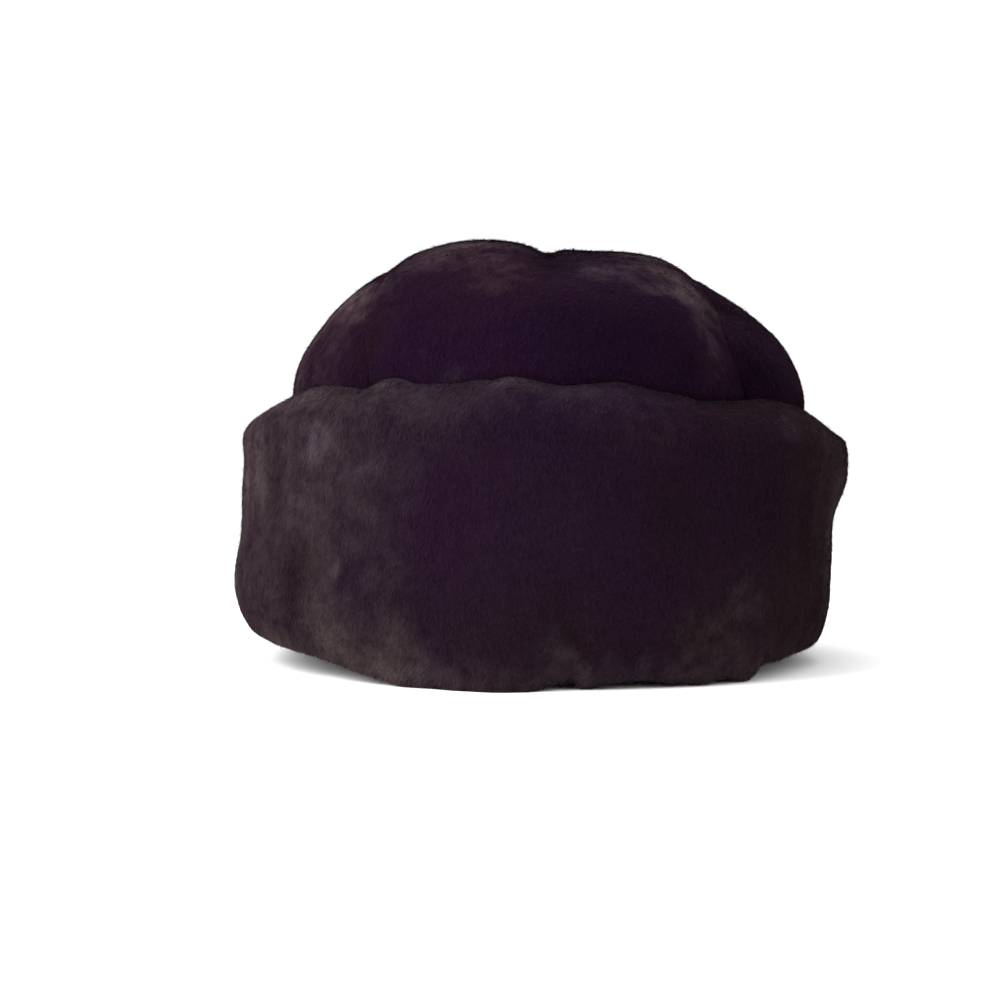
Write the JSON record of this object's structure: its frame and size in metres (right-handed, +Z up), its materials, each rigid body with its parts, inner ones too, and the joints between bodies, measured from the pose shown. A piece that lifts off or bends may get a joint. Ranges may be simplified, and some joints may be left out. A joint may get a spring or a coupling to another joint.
{
  "type": "fur hat with turned-up band",
  "caption": "Dark plum-brown short fur hat: a puffed crown sewn from a centre panel and side panels, in a deep turned-up fur band.",
  "frame": {"origin": "under the middle of the hat, on the surface that it rests on", "axes": "+Z up through the crown, -Y towards the front of the hat, +X towards the viewer's right when the front is seen"},
  "size_m": [0.2245, 0.2523, 0.1519],
  "materials": {
    "crown_fur": "short dense sheared fur, dark plum, softly lit where the nap is crushed",
    "band_fur": "short dense sheared fur, dark plum to brown, softly lit where the nap is crushed"
  },
  "bodies": {
    "root": {"crown_centre_panel": "crown_fur", "crown_left_panel": "crown_fur", "crown_right_panel": "crown_fur", "turned_up_band": "band_fur"}
  },
  "joints": []
}
